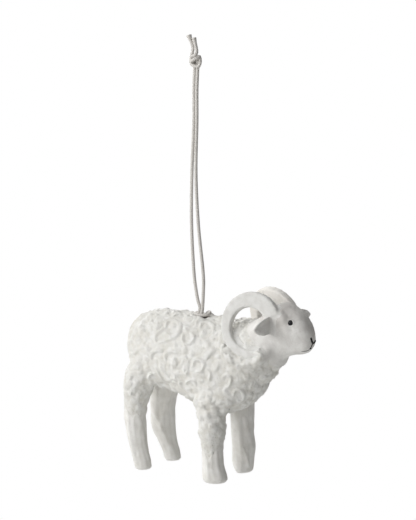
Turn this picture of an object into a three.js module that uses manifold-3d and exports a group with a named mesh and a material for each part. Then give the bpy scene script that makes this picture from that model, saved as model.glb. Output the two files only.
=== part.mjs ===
import * as THREE from 'three';
import { mergeVertices } from 'three/addons/utils/BufferGeometryUtils.js';
import Module from 'manifold-3d';

const wasm = await Module();
wasm.setup();

// All sizes are in millimetres. The frame's origin is the hang point under the knot, +X runs to the nose.

// Clearances
const glueGap = 0.3;
const turnGap = 0.35;
const wrapGap = 0.22;

// Reach of the boxes that cut solids, past any of them
const cutReach = 200;

// Cord
const cordDia = 1.5;
const loopDrop = 112;
const knotHeight = 6.4;
const knotWidth = 5.6;
const cordEndLength = 9.5;
const strandGap = 0.2;
const bightReach = 3.05;
const bightLift = 1.55;
const sideSwing = 25;

// Wire
const eyeWireDia = 1.0;
const eyeSpan = 9;
const eyeDepth = 15;
const frameWireDia = 1.6;

// Trunk, from the rump to the nose: x, top, bottom and half width of each section.
const rumpX = -40.2;
const noseX = 62;
const noseZ = -2.6;
const trunk = [
  [rumpX, -12, -16, 2],
  [-38.2, -6.2, -23.5, 8],
  [-33.5, -1.4, -30, 12.4],
  [-22.5, 0.9, -34, 15.2],
  [-9, 1.2, -36.6, 16.2],
  [4.5, 0.9, -39.6, 16.2],
  [15.5, 0.7, -41.2, 15.4],
  [26, 1.4, -37, 14],
  [34, 3.6, -27.2, 12.4],
  [40, 8, -19.6, 10.2],
  [46, 11.8, -14, 8.5],
  [51.5, 10.2, -11.7, 7.4],
  [56.5, 7.2, -10.8, 6],
  [60, 3, -8.6, 4.1],
  [noseX, noseZ + 1, noseZ - 1, 0.9],
];
const trunkSquareness = 2.2;
const shellWall = 3.2;
const headWall = 2.7;
const noseFill = 9;
const headNoseFill = 8;
const headHollowBack = 20;
const coreFrontX = 23;
const neckX = 40;
const neckZ = -5;
const neckLean = 20;

// Legs: height above the sole, step forward of the leg's root, radius and inward shift of each ring.
const soleZ = -72.5;
const frontStance = 11;
const hindStance = 10;
const frontRootX = 13;
const hindRootStep = 16.2;
const hindRootX = rumpX + hindRootStep;
const soleRound = 0.8;
const frontLeg = [
  [0, -0.2, 5.2, 0],
  [4, -0.2, 5.3, 0],
  [12, -0.4, 4.9, 0],
  [22, -0.3, 5.3, 0],
  [32, -0.1, 5.6, 0],
  [42, 0, 5.8, 1],
  [52, 0, 4.2, 3],
];
const hindLeg = [
  [0, -4.6, 4, 0],
  [4, -5, 4.1, 0],
  [11, -7.2, 4.4, 0],
  [24, -9.2, 5, 0],
  [34, -7.6, 6.4, 0.3],
  [45, -4.8, 9, 1.6],
  [58, 0, 7, 4.6],
];
const legWireTopZ = -24;
const legWireFoot = 5;

// Horns: flat curls in a plane that leans and toes out.
const hornThick = 3.4;
const hornOuter = 15.5;
const hornTipOuter = 14.2;
const hornBands = [7.6, 7.4, 6, 4.7, 4.2, 3.2];
const hornStart = 25;
const hornEnd = 300;
const hornX = 34.6;
const hornY = 9.2;
const hornZ = 1.1;
const hornLean = 12.8;
const hornToe = 6.6;
const hornBevel = 0.7;

// Ears
const earLength = 13.8;
const earRoot = 2.5;
const earWidth = 6.6;
const earThick = 1.5;
const earBase = [43.4, 6.4, 2.8];
const earDroop = 6;
const earForward = 6;
const earCup = 0.9;

// Eyes and tail
const eyeRadius = 1.15;
const eyeAt = [53.6, 5.55, 3.8];
const tailLength = 14;
const tailRadius = 3;
const tailTop = -8.5;
const tailLean = 6;

const halfCord = cordDia / 2;
const strandHalf = halfCord + strandGap / 2;
const barZ = -loopDrop;
const turnRadius = eyeWireDia / 2 + halfCord + wrapGap;
const pivotZ = 4.6;
const pivotRadius = 2.1;

// Turns a geometry into a closed solid.
function solid(geometry) {
  const bare = geometry.clone();
  bare.deleteAttribute('normal');
  bare.deleteAttribute('uv');
  const merged = mergeVertices(bare, 1e-4);
  return new wasm.Manifold(new wasm.Mesh({
    numProp: 3,
    vertProperties: new Float32Array(merged.attributes.position.array),
    triVerts: new Uint32Array(merged.index.array),
  }));
}

// Turns a solid back into a geometry.
function skin(made) {
  const m = made.getMesh();
  const geometry = new THREE.BufferGeometry();
  geometry.setAttribute('position', new THREE.BufferAttribute(new Float32Array(m.vertProperties), 3));
  geometry.setIndex(Array.from(m.triVerts));
  return geometry;
}

// Joins closed rings of points into one body with a fan at each end.
function ringLoft(rings) {
  const sides = rings[0].length;
  const points = rings.flat();
  const first = rings[0];
  const last = rings[rings.length - 1];
  const middle = (ring) => ring.reduce((sum, p) => sum.add(p), new THREE.Vector3()).divideScalar(sides);
  points.push(middle(first), middle(last));
  const startCentre = points.length - 2;
  const endCentre = points.length - 1;
  const lastRow = (rings.length - 1) * sides;
  const index = [];
  for (let i = 0; i < rings.length - 1; i += 1) {
    for (let j = 0; j < sides; j += 1) {
      const a = i * sides + j;
      const b = i * sides + ((j + 1) % sides);
      index.push(a, b, a + sides, b, b + sides, a + sides);
    }
  }
  for (let j = 0; j < sides; j += 1) {
    const k = (j + 1) % sides;
    index.push(startCentre, k, j);
    index.push(endCentre, lastRow + j, lastRow + k);
  }
  const geometry = new THREE.BufferGeometry().setFromPoints(points);
  geometry.setIndex(index);
  return geometry;
}

const rounded = (value) => Math.sign(value) * Math.abs(value) ** (2 / trunkSquareness);
const spreadCurve = new THREE.CatmullRomCurve3(
  trunk.map(([x, , , half]) => new THREE.Vector3(x, half, 0)), false, 'catmullrom', 0.5,
);
const edgeCurve = new THREE.CatmullRomCurve3(
  trunk.map(([x, top, bottom]) => new THREE.Vector3(x, top, bottom)), false, 'catmullrom', 0.5,
);

// The trunk as one body, made larger or smaller all round by grow, over part of its length.
function trunkSolid(grow, fromX, toX, steps = 36, sides = 26) {
  const stretch = 1 + grow / 45;
  const rings = [];
  for (let i = 0; i <= steps; i += 1) {
    const edge = edgeCurve.getPoint(i / steps);
    const spread = spreadCurve.getPoint(i / steps);
    if (edge.x < fromX || edge.x > toX) continue;
    const half = Math.max(spread.y + grow, 0.4);
    const high = Math.max((edge.y - edge.z) / 2 + grow, 0.4);
    const mid = (edge.y + edge.z) / 2;
    const ring = [];
    for (let j = 0; j < sides; j += 1) {
      const turn = (j / sides) * Math.PI * 2;
      ring.push(new THREE.Vector3(
        edge.x * stretch,
        half * rounded(Math.cos(turn)),
        mid + high * rounded(Math.sin(turn)),
      ));
    }
    rings.push(ring);
  }
  return solid(ringLoft(rings));
}

// A round tube along a list of points.
function tube(points, diameter, steps, sides = 8, tension = 0.5) {
  const path = new THREE.CatmullRomCurve3(
    points.map((p) => new THREE.Vector3(...p)), false, 'catmullrom', tension,
  );
  const section = new THREE.Shape();
  const corners = [];
  for (let i = 0; i < sides; i += 1) {
    const turn = (i / sides) * Math.PI * 2;
    corners.push(new THREE.Vector2(Math.cos(turn), Math.sin(turn)).multiplyScalar(diameter / 2));
  }
  section.setFromPoints(corners);
  return new THREE.ExtrudeGeometry(section, { steps, bevelEnabled: false, extrudePath: path });
}

function box(fromCorner, toCorner) {
  const low = new THREE.Vector3(...fromCorner);
  const high = new THREE.Vector3(...toCorner);
  const size = high.clone().sub(low);
  const middle = low.add(high).multiplyScalar(0.5);
  return new THREE.BoxGeometry(size.x, size.y, size.z).translate(middle.x, middle.y, middle.z);
}

// The half space behind the neck joint, moved forward by shift.
function behindNeck(shift) {
  const slab = new THREE.BoxGeometry(cutReach, cutReach, cutReach).translate(shift - cutReach / 2, 0, 0);
  slab.rotateY(THREE.MathUtils.degToRad(-neckLean));
  return solid(slab.translate(neckX, 0, neckZ));
}

// One leg standing at its lateral place, from the sole to inside the trunk.
function legSolid(rows, rootX, lateral) {
  const sides = 12;
  const curve = new THREE.CatmullRomCurve3(
    rows.map(([up, step, r]) => new THREE.Vector3(up, rootX + step, r)), false, 'catmullrom', 0.5,
  );
  const inward = new THREE.CatmullRomCurve3(
    rows.map(([up, , , shift]) => new THREE.Vector3(up, shift, 0)), false, 'catmullrom', 0.5,
  );
  const steps = 12;
  const heights = [];
  for (let i = 0; i <= steps; i += 1) {
    const at = curve.getPoint(i / steps);
    heights.push([at.x, at.y, at.z, inward.getPoint(i / steps).y]);
  }
  heights[0][2] -= soleRound;
  heights.splice(1, 0, [soleRound, heights[0][1], heights[0][2] + soleRound, 0]);
  const rings = heights.map(([up, x, r, shift]) => {
    const y = lateral - Math.sign(lateral) * shift;
    const ring = [];
    for (let j = 0; j < sides; j += 1) {
      const turn = (j / sides) * Math.PI * 2;
      ring.push(new THREE.Vector3(
        x + r * Math.cos(turn),
        y + r * Math.sin(turn),
        soleZ + up,
      ));
    }
    return ring;
  });
  return solid(ringLoft(rings));
}

function legWire(rows, rootX, lateral, grow) {
  const points = rows
    .filter(([up]) => up >= legWireFoot - 1.5 && soleZ + up <= legWireTopZ)
    .map(([up, step]) => [rootX + step, lateral, soleZ + up]);
  points[0][2] = soleZ + legWireFoot;
  const top = points[points.length - 1];
  points.push([top[0] * 0.9, lateral * 0.85, legWireTopZ]);
  return solid(tube(points, frameWireDia + 2 * grow, 8));
}

// A horn's flat curl in its own plane, then leaned, toed out and moved to its side.
function hornSolid(side, grow) {
  const turns = 24;
  const outer = [];
  const inner = [];
  for (let i = 0; i <= turns; i += 1) {
    const share = i / turns;
    const turn = THREE.MathUtils.degToRad(hornStart + (hornEnd - hornStart) * share);
    const radius = hornOuter + (hornTipOuter - hornOuter) * share - hornBevel + grow;
    const place = share * (hornBands.length - 1);
    const low = Math.min(Math.floor(place), hornBands.length - 2);
    const band = hornBands[low] + (hornBands[low + 1] - hornBands[low]) * (place - low);
    const least = radius - band + 2 * hornBevel - 2 * grow;
    outer.push(new THREE.Vector2(Math.cos(turn) * radius, Math.sin(turn) * radius));
    inner.push(new THREE.Vector2(Math.cos(turn) * least, Math.sin(turn) * least));
  }
  const shape = new THREE.Shape([...outer, ...inner.reverse()]);
  const geometry = new THREE.ExtrudeGeometry(shape, {
    depth: hornThick - 2 * hornBevel + 2 * grow,
    bevelEnabled: true,
    bevelSize: hornBevel,
    bevelThickness: hornBevel,
    bevelSegments: 2,
    steps: 1,
  });
  geometry.translate(0, 0, -(hornThick / 2 - hornBevel + grow));
  geometry.rotateX(Math.PI / 2);
  geometry.rotateX(THREE.MathUtils.degToRad(side * hornLean));
  geometry.rotateZ(THREE.MathUtils.degToRad(-side * hornToe));
  geometry.translate(hornX, side * hornY, hornZ);
  return solid(geometry);
}

// A leaf-shaped ear, cupped forward, standing out sideways from the head.
function earSolid(side) {
  const shape = new THREE.Shape();
  const up = -side * earWidth;
  shape.moveTo(-earRoot, -up * 0.4);
  shape.bezierCurveTo(earLength * 0.4, -up * 0.6, earLength * 0.75, -up * 0.6, earLength, -up * 0.15);
  shape.bezierCurveTo(earLength * 0.8, up * 0.5, earLength * 0.4, up * 0.62, -earRoot, up * 0.4);
  shape.closePath();
  const geometry = new THREE.ExtrudeGeometry(shape, {
    depth: earThick * 0.4,
    bevelEnabled: true,
    bevelSize: earThick * 0.3,
    bevelThickness: earThick * 0.3,
    bevelSegments: 1,
    curveSegments: 8,
  });
  geometry.translate(0, 0, -earThick * 0.2);
  const at = geometry.attributes.position;
  for (let i = 0; i < at.count; i += 1) {
    const across = at.getY(i) / (earWidth / 2);
    at.setZ(i, at.getZ(i) + earCup * across * across);
  }
  const out = new THREE.Vector3(0, side, 0);
  const frame = new THREE.Matrix4().makeBasis(
    out, new THREE.Vector3(0, 0, side), new THREE.Vector3(1, 0, 0),
  );
  geometry.applyMatrix4(frame);
  geometry.rotateX(THREE.MathUtils.degToRad(-side * earDroop));
  geometry.rotateZ(THREE.MathUtils.degToRad(-side * earForward));
  geometry.translate(earBase[0], side * earBase[1], earBase[2]);
  return solid(geometry);
}

function ball(at, radius, wide = 8, tall = 6) {
  return solid(new THREE.SphereGeometry(radius, wide, tall).translate(...at));
}

// Solids of the ram, in a frame whose origin is the middle of the wire eye's bar.
const whole = trunkSolid(0, -cutReach, cutReach);
const wholeRoom = trunkSolid(glueGap, -cutReach, cutReach);
const hollow = trunkSolid(-shellWall, rumpX + shellWall, noseX - noseFill, 22, 14);
const fill = trunkSolid(-shellWall - glueGap, rumpX + shellWall + glueGap, coreFrontX, 22, 14);

const half = eyeSpan / 2;
const eyePoints = [
  [-half, 0, -eyeDepth],
  [-half, 0, -eyeDepth / 2],
  [-half, 0, -1.6],
  [-half + 0.9, 0, -0.1],
  [-half / 3, 0, 0],
  [half / 3, 0, 0],
  [half - 0.9, 0, -0.1],
  [half, 0, -1.6],
  [half, 0, -eyeDepth / 2],
  [half, 0, -eyeDepth],
];
const eyeWire = solid(tube(eyePoints, eyeWireDia, 22));
const eyeWireRoom = solid(tube(eyePoints, eyeWireDia + 2 * glueGap, 22))
  .add(ball([-half, 0, -eyeDepth], eyeWireDia / 2 + glueGap))
  .add(ball([half, 0, -eyeDepth], eyeWireDia / 2 + glueGap));

const spinePoints = [
  [rumpX + 11, 0, -16],
  [-14, 0, -18],
  [6, 0, -20],
  [coreFrontX - 2, 0, -17],
];
const spine = solid(tube(spinePoints, frameWireDia, 12));
const spineRoom = solid(tube(spinePoints, frameWireDia + 2 * glueGap, 12))
  .add(ball(spinePoints[0], frameWireDia / 2 + glueGap))
  .add(ball(spinePoints[spinePoints.length - 1], frameWireDia / 2 + glueGap));

// The hitch sits in a hollow around the bar, open upwards.
const turnOuter = turnRadius + halfCord;
const hollowHalf = eyeSpan / 2 - 1;
const hitchRoom = solid(new THREE.CylinderGeometry(
  turnOuter + turnGap, turnOuter + turnGap, 2 * hollowHalf, 20,
).rotateZ(Math.PI / 2));
const bightRadius = Math.hypot(bightReach, bightLift);
const bightLowest = Math.atan2(bightLift, bightReach) - THREE.MathUtils.degToRad(sideSwing);
const mouthFloor = bightRadius * Math.sin(bightLowest) - halfCord - turnGap;
const mouthFront = bightRadius + halfCord + turnGap;
const mouthBack = turnOuter + turnGap;
const mouthTop = 12;
const mouthFlare = 1.6;
const mouthShape = new THREE.Shape();
mouthShape.moveTo(-mouthFront, mouthFloor);
mouthShape.lineTo(mouthBack, mouthFloor);
mouthShape.lineTo(mouthBack, 0);
mouthShape.lineTo(mouthBack + mouthFlare, 1);
mouthShape.lineTo(mouthBack + mouthFlare, mouthTop);
mouthShape.lineTo(-mouthFront, mouthTop);
mouthShape.closePath();
const mouth = solid(new THREE.ExtrudeGeometry(mouthShape, { depth: 2 * hollowHalf, bevelEnabled: false })
  .translate(0, 0, -hollowHalf)
  .applyMatrix4(new THREE.Matrix4().makeBasis(
    new THREE.Vector3(0, 1, 0), new THREE.Vector3(0, 0, 1), new THREE.Vector3(1, 0, 0),
  )));
const hitchHollow = hitchRoom.add(mouth);

const sides = [['right', -1], ['left', 1]];
const legs = [['front', frontLeg, frontRootX, frontStance], ['hind', hindLeg, hindRootX, hindStance]];
const parts = [];
const wires = [];
const wireRooms = [];
for (const [label, side] of sides) {
  for (const [place, rows, rootX, stance] of legs) {
    wires.push([`leg_wire_${place}_${label}`, legWire(rows, rootX, side * stance, 0)]);
    wireRooms.push(legWire(rows, rootX, side * stance, glueGap).add(ball(
      [rootX + rows[1][1], side * stance, soleZ + legWireFoot], frameWireDia / 2 + glueGap,
    )));
  }
}
const allWireRoom = wireRooms.reduce((sum, room) => sum.add(room));

// Shell halves, core and head
const shell = whole.intersect(behindNeck(0)).subtract(hollow)
  .subtract(hitchHollow).subtract(eyeWireRoom).subtract(allWireRoom);
for (const [label, side] of sides) {
  const keep = side < 0
    ? box([-cutReach, -cutReach, -cutReach], [cutReach, -glueGap / 2, cutReach])
    : box([-cutReach, glueGap / 2, -cutReach], [cutReach, cutReach, cutReach]);
  parts.push([`body_shell_${label}`, shell.intersect(solid(keep)), 'fleecePulp']);
}
const core = fill.subtract(hitchHollow).subtract(eyeWireRoom).subtract(allWireRoom).subtract(spineRoom);
parts.push(['paper_core', core, 'newsprintWad']);

const eyeRooms = sides.map(([, side]) => ball([eyeAt[0], side * eyeAt[1], eyeAt[2]], eyeRadius + glueGap));
const headCavity = trunkSolid(-headWall, neckX - headHollowBack, noseX - headNoseFill, 26, 14);
const headFull = whole.subtract(behindNeck(glueGap));
const head = headFull.subtract(headCavity).subtract(eyeRooms[0]).subtract(eyeRooms[1]);
parts.push(['head', head, 'smoothPulp']);

for (const [label, side] of sides) {
  const horn = hornSolid(side, 0).subtract(wholeRoom);
  parts.push([`horn_${label}`, horn, 'hornCard']);
  const ear = earSolid(side).subtract(wholeRoom).subtract(hornSolid(side, glueGap));
  parts.push([`ear_${label}`, ear, 'smoothPulp']);
  parts.push([`eye_${label}`, ball([eyeAt[0], side * eyeAt[1], eyeAt[2]], eyeRadius, 12, 8), 'blackGloss']);
  for (const [place, rows, rootX, stance] of legs) {
    const leg = legSolid(rows, rootX, side * stance).subtract(wholeRoom).subtract(allWireRoom);
    parts.push([`leg_${place}_${label}`, leg, 'smoothPulp']);
  }
}
for (const [name, wire] of wires) parts.push([name, wire, 'darkWire']);
parts.push(['spine_wire', spine, 'darkWire']);
parts.push(['hanger_eye', eyeWire, 'darkWire']);

const tailProfile = new THREE.SplineCurve([
  new THREE.Vector2(0, 0),
  new THREE.Vector2(tailRadius * 0.8, -tailLength * 0.08),
  new THREE.Vector2(tailRadius, -tailLength * 0.4),
  new THREE.Vector2(tailRadius * 0.75, -tailLength * 0.8),
  new THREE.Vector2(0, -tailLength),
]).getPoints(10);
tailProfile[0].x = 0;
tailProfile[10].x = 0;
const tail = solid(new THREE.LatheGeometry(tailProfile.reverse(), 12)
  .rotateX(Math.PI / 2)
  .rotateY(THREE.MathUtils.degToRad(-tailLean))
  .translate(rumpX, 0, tailTop)).subtract(wholeRoom);
parts.push(['tail', tail, 'fleecePulp']);

// The hitch: each strand passes under the bar, up behind it, over it and round the front of both strands.
const hitchHalf = [
  [strandHalf, 0, pivotZ - 0.4],
  [strandHalf, -0.25, 2.9],
  [strandHalf, -0.95, 1.4],
  [strandHalf, -turnRadius, 0],
  [strandHalf + 0.1, 0, -turnRadius],
  [strandHalf + 0.85, turnRadius, 0.1],
  [strandHalf + 1.5, 0.1, turnRadius + 0.05],
  [strandHalf + 1.55, -bightReach / 2, bightLift + 0.2],
  [strandHalf + 1.1, -bightReach + 0.28, bightLift + 0.05],
  [strandHalf, -bightReach + 0.03, bightLift],
];
const hitchPoints = [
  ...hitchHalf,
  [0, -bightReach, bightLift],
  ...hitchHalf.map(([x, y, z]) => [-x, y, z]).reverse(),
];
const pivotRoom = solid(new THREE.CylinderGeometry(
  pivotRadius + glueGap, pivotRadius + glueGap, 8, 24,
).translate(0, 0, pivotZ));
const pivotEnd = solid(new THREE.CylinderGeometry(pivotRadius, pivotRadius, 10, 24).translate(0, 0, pivotZ));
const hitch = solid(tube(hitchPoints, cordDia, 60)).subtract(pivotRoom);
parts.push(['cord_hitch', hitch, 'cottonCord']);

// The two strands from the knot down to the hitch: x and drop from the hang point.
const frontStrand = [
  [strandHalf, 0.3],
  [strandHalf, 9.6],
  [strandHalf - 0.3, 24],
  [-0.6, 47],
  [-0.2, 70],
  [2, 93],
  [1.5, loopDrop - pivotZ - 3.4],
  [strandHalf, loopDrop - pivotZ + 0.6],
  [strandHalf, loopDrop - pivotZ + pivotRadius + 1],
];
const rearStrand = [
  [-strandHalf, 0.3],
  [-strandHalf, 9.6],
  [-strandHalf - 0.3, 24],
  [-0.6 - 2 * strandHalf - 0.1, 47],
  [-3.9, 70],
  [-3.6, 93],
  [-1.8, loopDrop - pivotZ - 3.4],
  [-strandHalf, loopDrop - pivotZ + 0.6],
  [-strandHalf, loopDrop - pivotZ + pivotRadius + 1],
];
const belowPivot = solid(box([-cutReach, -cutReach, -cutReach], [cutReach, cutReach, pivotZ]))
  .subtract(pivotEnd);
for (const [label, rows] of [['front', frontStrand], ['rear', rearStrand]]) {
  const points = rows.map(([x, drop]) => [x, 0, loopDrop - drop]);
  const strand = solid(tube(points, cordDia, 28)).subtract(belowPivot);
  parts.push([`cord_strand_${label}`, strand, 'cottonCord']);
}

// The knot and the two tails above it.
const knot = solid(new THREE.SphereGeometry(1, 14, 10).scale(knotWidth / 2, knotWidth / 2 * 0.8, knotHeight / 2)
  .translate(0, 0, loopDrop + knotHeight / 2))
  .subtract(solid(box([-cutReach, -cutReach, -cutReach], [cutReach, cutReach, loopDrop + glueGap])));
parts.push(['cord_knot', knot, 'cottonCord']);
const knotRoom = solid(new THREE.SphereGeometry(1, 14, 10)
  .scale(knotWidth / 2 + glueGap, knotWidth / 2 * 0.8 + glueGap, knotHeight / 2 + glueGap)
  .translate(0, 0, loopDrop + knotHeight / 2));
const tailFoot = loopDrop + knotHeight - 1.2;
const cordEnds = [['rear', -strandHalf, -2.8, cordEndLength], ['front', strandHalf, -1.6, cordEndLength - 1]];
for (const [label, x, lean, length] of cordEnds) {
  const points = [
    [x, 0, tailFoot],
    [x + lean * 0.3, 0, tailFoot + length * 0.45],
    [x + lean, 0, tailFoot + length],
  ];
  parts.push([`cord_tail_${label}`, solid(tube(points, cordDia, 6)).subtract(knotRoom), 'cottonCord']);
}

const looks = {
  fleecePulp: [0xe9e7e1, 0.95, 0],
  smoothPulp: [0xdedbd5, 0.85, 0],
  hornCard: [0xe2e0da, 0.9, 0],
  newsprintWad: [0xb9b4a6, 0.95, 0],
  darkWire: [0x2b2926, 0.5, 0.9],
  blackGloss: [0x0b0b0c, 0.15, 0],
  cottonCord: [0xc9c4bc, 0.9, 0],
};

const group = new THREE.Group();
for (const [name, made, look] of parts) {
  const [color, roughness, metalness] = looks[look];
  const mesh = new THREE.Mesh(skin(made), new THREE.MeshStandardMaterial({ color, roughness, metalness }));
  mesh.name = name;
  mesh.position.z = barZ;
  group.add(mesh);
}

export default group;
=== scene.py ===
import math

import bmesh
import bpy
from mathutils import Matrix, Vector, noise
from mathutils.bvhtree import BVHTree
from mathutils.kdtree import KDTree


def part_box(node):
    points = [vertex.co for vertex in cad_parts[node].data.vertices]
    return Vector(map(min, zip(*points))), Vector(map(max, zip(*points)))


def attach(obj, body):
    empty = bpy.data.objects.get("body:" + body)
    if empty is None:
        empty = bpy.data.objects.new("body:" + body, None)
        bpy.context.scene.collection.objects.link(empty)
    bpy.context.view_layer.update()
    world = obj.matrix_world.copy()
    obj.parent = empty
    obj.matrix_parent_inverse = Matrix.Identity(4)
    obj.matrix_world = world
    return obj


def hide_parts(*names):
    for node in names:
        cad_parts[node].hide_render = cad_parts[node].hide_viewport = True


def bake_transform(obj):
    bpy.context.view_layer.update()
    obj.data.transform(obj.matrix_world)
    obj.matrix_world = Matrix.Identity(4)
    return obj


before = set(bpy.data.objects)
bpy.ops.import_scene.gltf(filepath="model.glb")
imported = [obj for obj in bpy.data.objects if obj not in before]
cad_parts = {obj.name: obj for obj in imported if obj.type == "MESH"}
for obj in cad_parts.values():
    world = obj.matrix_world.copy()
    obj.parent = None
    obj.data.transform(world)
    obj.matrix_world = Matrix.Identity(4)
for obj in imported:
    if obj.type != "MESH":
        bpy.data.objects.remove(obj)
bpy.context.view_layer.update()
scene = bpy.context.scene
mm = 0.001  # the dictionaries below are in millimetres and degrees, the materials' noises per metre
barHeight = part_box("hanger_eye")[1].z - 0.5 * mm  # middle of the eye's bar, a wire of 1 mm
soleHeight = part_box("leg_front_right")[0].z
soleBelow = (soleHeight - barHeight) / mm  # the soles, seen from the bar
print(f"frame: {len(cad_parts)} nodes, soles {-soleBelow:.1f} mm below the eye's bar")


# general helpers

def smoothStep(low, high, value):
    share = min(1.0, max(0.0, (value - low) / (high - low)))
    return share * share * (3 - 2 * share)


def bulge(away, reach):  # 1 in the middle, fading like a bell
    return math.exp(-(away / reach) ** 2)


def fromBar(point):  # millimetres from the middle of the eye's bar
    return Vector((point[0] / mm, point[1] / mm, (point[2] - barHeight) / mm))


def toFrame(point):  # the way back, to metres in the frame
    x, y, z = point
    return Vector((x * mm, y * mm, z * mm + barHeight))


def linkMesh(name, mesh):
    obj = bpy.data.objects.new(name, mesh)
    scene.collection.objects.link(obj)
    return obj


def meshFrom(name, points, faces):
    mesh = bpy.data.meshes.new(name)
    mesh.from_pydata([tuple(p) for p in points], [], faces)
    mesh.update()
    return linkMesh(name, mesh)


def openMesh(*objects):
    bm = bmesh.new()
    for obj in objects:
        bm.from_mesh(obj.data)
    return bm


def closeMesh(bm, mesh):
    bm.to_mesh(mesh)
    bm.free()


def closeNew(bm, name):
    mesh = bpy.data.meshes.new(name)
    closeMesh(bm, mesh)
    return linkMesh(name, mesh)


def copyNodes(name, nodes):
    bm = openMesh(*[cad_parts[node] for node in nodes])
    bmesh.ops.remove_doubles(bm, verts=bm.verts, dist=1e-6)
    obj = closeNew(bm, name)
    obj.data.materials.clear()
    return obj


def copyObject(name, obj):
    mesh = obj.data.copy()
    mesh.name = name
    return linkMesh(name, mesh)


def discard(obj):
    mesh = obj.data
    bpy.data.objects.remove(obj)
    bpy.data.meshes.remove(mesh)


def bakeDown(obj):  # the evaluated mesh becomes the object's own, with no modifier left
    graph = bpy.context.evaluated_depsgraph_get()
    mesh = bpy.data.meshes.new_from_object(obj.evaluated_get(graph))
    old = obj.data
    obj.modifiers.clear()
    obj.data = mesh
    mesh.name = obj.name
    bpy.data.meshes.remove(old)
    return obj


def ease(obj, rounds):
    smooth = obj.modifiers.new("ease", "SMOOTH")
    smooth.factor = 0.5
    smooth.iterations = rounds
    return smooth


def easeWhere(obj, weights, rounds):
    group = obj.vertex_groups.new(name="eased")
    for index, weight in enumerate(weights):
        group.add([index], weight, "REPLACE")
    ease(obj, rounds).vertex_group = "eased"
    bakeDown(obj)
    obj.vertex_groups.clear()


def keepOutside(obj):  # drops closed bubbles inside and crumbs, keeps the largest island
    bm = openMesh(obj)
    unseen = set(bm.verts)
    islands = []
    while unseen:
        island, todo = [], [unseen.pop()]
        while todo:
            vert = todo.pop()
            island.append(vert)
            fresh = unseen.intersection(edge.other_vert(vert) for edge in vert.link_edges)
            unseen -= fresh
            todo += fresh
        islands.append(island)
    islands.sort(key=len)
    bmesh.ops.delete(bm, geom=[v for island in islands[:-1] for v in island], context="VERTS")
    closeMesh(bm, obj.data)


def fuse(obj, voxel, easing):
    remesh = obj.modifiers.new("fuse", "REMESH")
    remesh.mode = "VOXEL"
    remesh.voxel_size = voxel * mm
    if easing:
        ease(obj, easing)
    keepOutside(bakeDown(obj))


def absorb(obj, *others):  # joins other meshes into the first one
    closeMesh(openMesh(obj, *others), obj.data)
    for other in others:
        discard(other)


def cutAway(obj, point, normal):  # removes what lies on the normal's side and closes the cut
    bm = openMesh(obj)
    geom = bm.verts[:] + bm.edges[:] + bm.faces[:]
    bmesh.ops.bisect_plane(bm, geom=geom, plane_co=point, plane_no=normal, clear_outer=True)
    rims = [edge for edge in bm.edges if edge.is_boundary]
    filled = bmesh.ops.holes_fill(bm, edges=rims, sides=0)["faces"]
    bmesh.ops.triangulate(bm, faces=filled)
    closeMesh(bm, obj.data)


def cutNeck(obj, reach, way):  # cuts where x + z is the reach, and removes what is ahead (1) or behind (-1)
    cutAway(obj, toFrame((reach / 2, 0, reach / 2)), Vector((way, 0, way)).normalized())


def treeOf(obj):
    bm = openMesh(obj)
    tree = BVHTree.FromBMesh(bm)
    bm.free()
    return tree


def positions(obj):
    return [v.co for v in obj.data.vertices]


def spotsOf(obj):
    return [fromBar(v.co) for v in obj.data.vertices]


def storeFloat(obj, name, values):
    attribute = obj.data.attributes.get(name) or obj.data.attributes.new(name, "FLOAT", "POINT")
    attribute.data.foreach_set("value", values)


def shiftAlongNormals(obj, amounts):  # amounts in millimetres
    mesh = obj.data
    normals = [v.normal.copy() for v in mesh.vertices]
    for vert, normal, amount in zip(mesh.vertices, normals, amounts):
        vert.co += normal * (amount * mm)
    mesh.update()


def setMaterial(obj, material):
    obj.data.materials.clear()
    obj.data.materials.append(material)


def finishPiece(obj, material, slotName, *nodes):
    setMaterial(obj, material)
    obj.data.shade_smooth()
    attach(obj, "ram")
    if nodes:
        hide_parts(*nodes)


def circle(count):  # angles of equal steps
    return [i / count * 2 * math.pi for i in range(count)]


def ringFaces(rings, sides, start=0, closed=False):  # quads between neighbouring rings of points
    faces = []
    for i in range(rings if closed else rings - 1):
        a, b = start + i * sides, start + (i + 1) % rings * sides
        for j in range(sides):
            k = (j + 1) % sides
            faces.append((a + j, a + k, b + k, b + j))
    return faces


def routeOf(points, step):  # a smooth line through the points, cut in equal steps
    points = [Vector(p) for p in points]
    dense = []
    for i in range(len(points) - 1):
        p1, p2 = points[i], points[i + 1]
        p0 = points[i - 1] if i else p1 * 2 - p2
        p3 = points[i + 2] if i + 2 < len(points) else p2 * 2 - p1
        count = max(4, int((p2 - p1).length / step * 4))
        for k in range(count):
            t = k / count
            dense.append(0.5 * (2 * p1 + (p2 - p0) * t + (2 * p0 - 5 * p1 + 4 * p2 - p3) * t ** 2
                                + (3 * p1 - p0 - 3 * p2 + p3) * t ** 3))
    dense.append(points[-1])
    even = [dense[0]]
    left = step
    for a, b in zip(dense, dense[1:]):
        span = (b - a).length
        while span >= left:
            a = a.lerp(b, left / span)
            even.append(a)
            span -= left
            left = step
        left -= span
    even[-1] = dense[-1]
    return even


def lengthOf(line):
    return sum((b - a).length for a, b in zip(line, line[1:]))


# node helpers

def addNode(tree, kind, inputs=None, **settings):
    node = tree.nodes.new(kind)
    for key, value in settings.items():
        setattr(node, key, value)
    for key, value in (inputs or {}).items():
        if isinstance(value, bpy.types.NodeSocket):
            tree.links.new(value, node.inputs[key])
        else:
            node.inputs[key].default_value = value
    return node


def nodeAfter(kind, inputs, **settings):  # a node in the tree of the sockets that lead into it
    tree = next(value.id_data for value in inputs.values() if isinstance(value, bpy.types.NodeSocket))
    return addNode(tree, kind, inputs, **settings)


def maths(operation, first, second=0.0):
    return nodeAfter("ShaderNodeMath", {0: first, 1: second}, operation=operation).outputs[0]


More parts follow.
